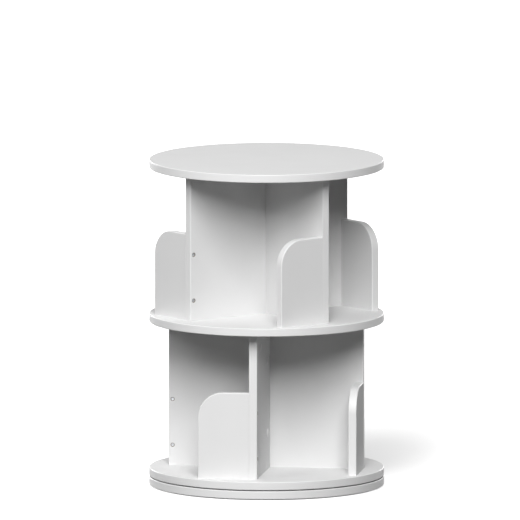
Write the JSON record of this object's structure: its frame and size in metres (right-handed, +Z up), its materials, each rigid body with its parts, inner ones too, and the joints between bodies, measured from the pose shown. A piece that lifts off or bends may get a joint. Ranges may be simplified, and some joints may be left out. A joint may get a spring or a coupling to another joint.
{
  "type": "revolving bookcase",
  "caption": "White revolving bookcase: round boards with crossed upright dividers and round-cornered guards, turning on a recessed ball-bearing ring above a fixed round base.",
  "frame": {"origin": "on the floor, on the axis that the bookcase turns about", "axes": "+Z up along the axis of turning; the lower dividers lie along X and Y, and -Y is the pictured front"},
  "size_m": [0.46, 0.46, 0.644],
  "materials": {
    "white_board": "satin white melamine face on particle board",
    "white_edging": "satin white plastic edging with eased arrises",
    "bearing_ring": "turned aluminium ring with ground ball groove",
    "bearing_ball": "polished bearing steel",
    "ball_cage": "natural moulded nylon",
    "zinc_screw": "bright zinc plated steel",
    "zinc_bolt": "bright zinc plated steel",
    "cam": "die-cast zinc, tumbled",
    "cam_cap": "white moulded cap",
    "dowel": "fluted beech",
    "foot_pad": "dark foam rubber pad"
  },
  "bodies": {
    "base": {"base_disc": "white_board", "base_disc_edging": "white_edging", "foot_pads": "foot_pad", "turntable_outer_ring": "bearing_ring", "outer_ring_screws": "zinc_screw"},
    "ball_ring": {"bearing_balls": "bearing_ball", "ball_cage": "ball_cage"},
    "bookcase": {"turntable_inner_ring": "bearing_ring", "inner_ring_screws": "zinc_screw", "bottom_shelf": "white_board", "bottom_shelf_edging": "white_edging", "middle_shelf": "white_board", "middle_shelf_edging": "white_edging", "top_disc": "white_board", "top_disc_edging": "white_edging", "lower_long_divider": "white_board", "lower_rear_divider": "white_board", "lower_front_divider": "white_board", "lower_long_divider_edging": "white_edging", "lower_rear_divider_edging": "white_edging", "lower_front_divider_edging": "white_edging", "lower_right_guard": "white_board", "lower_rear_guard": "white_board", "lower_left_guard": "white_board", "lower_front_guard": "white_board", "lower_right_guard_edging": "white_edging", "lower_rear_guard_edging": "white_edging", "lower_left_guard_edging": "white_edging", "lower_front_guard_edging": "white_edging", "lower_shelf_screws": "zinc_screw", "lower_guard_screws": "zinc_screw", "lower_cam_bolts": "zinc_bolt", "lower_cross_bolts": "zinc_bolt", "lower_cams": "cam", "lower_cam_caps": "cam_cap", "lower_dowels": "dowel", "upper_long_divider": "white_board", "upper_rear_divider": "white_board", "upper_front_divider": "white_board", "upper_long_divider_edging": "white_edging", "upper_rear_divider_edging": "white_edging", "upper_front_divider_edging": "white_edging", "upper_right_guard": "white_board", "upper_rear_guard": "white_board", "upper_left_guard": "white_board", "upper_front_guard": "white_board", "upper_right_guard_edging": "white_edging", "upper_rear_guard_edging": "white_edging", "upper_left_guard_edging": "white_edging", "upper_front_guard_edging": "white_edging", "upper_shelf_screws": "zinc_screw", "upper_guard_screws": "zinc_screw", "upper_cam_bolts": "zinc_bolt", "upper_cross_bolts": "zinc_bolt", "upper_cams": "cam", "upper_cam_caps": "cam_cap", "upper_dowels": "dowel"}
  },
  "joints": [
    {"name": "bookcase_revolve", "type": "hinge", "parent": "base", "child": "bookcase", "pos_m": [0, 0, 0.019], "axis": [0, 0, 1], "continuous": true},
    {"name": "ball_ring_orbit", "type": "hinge", "parent": "base", "child": "ball_ring", "pos_m": [0, 0, 0.019], "axis": [0, 0, 1], "continuous": true}
  ],
  "couplings": [
    {"joint": "ball_ring_orbit", "follows": "bookcase_revolve", "ratio": 0.49}
  ]
}
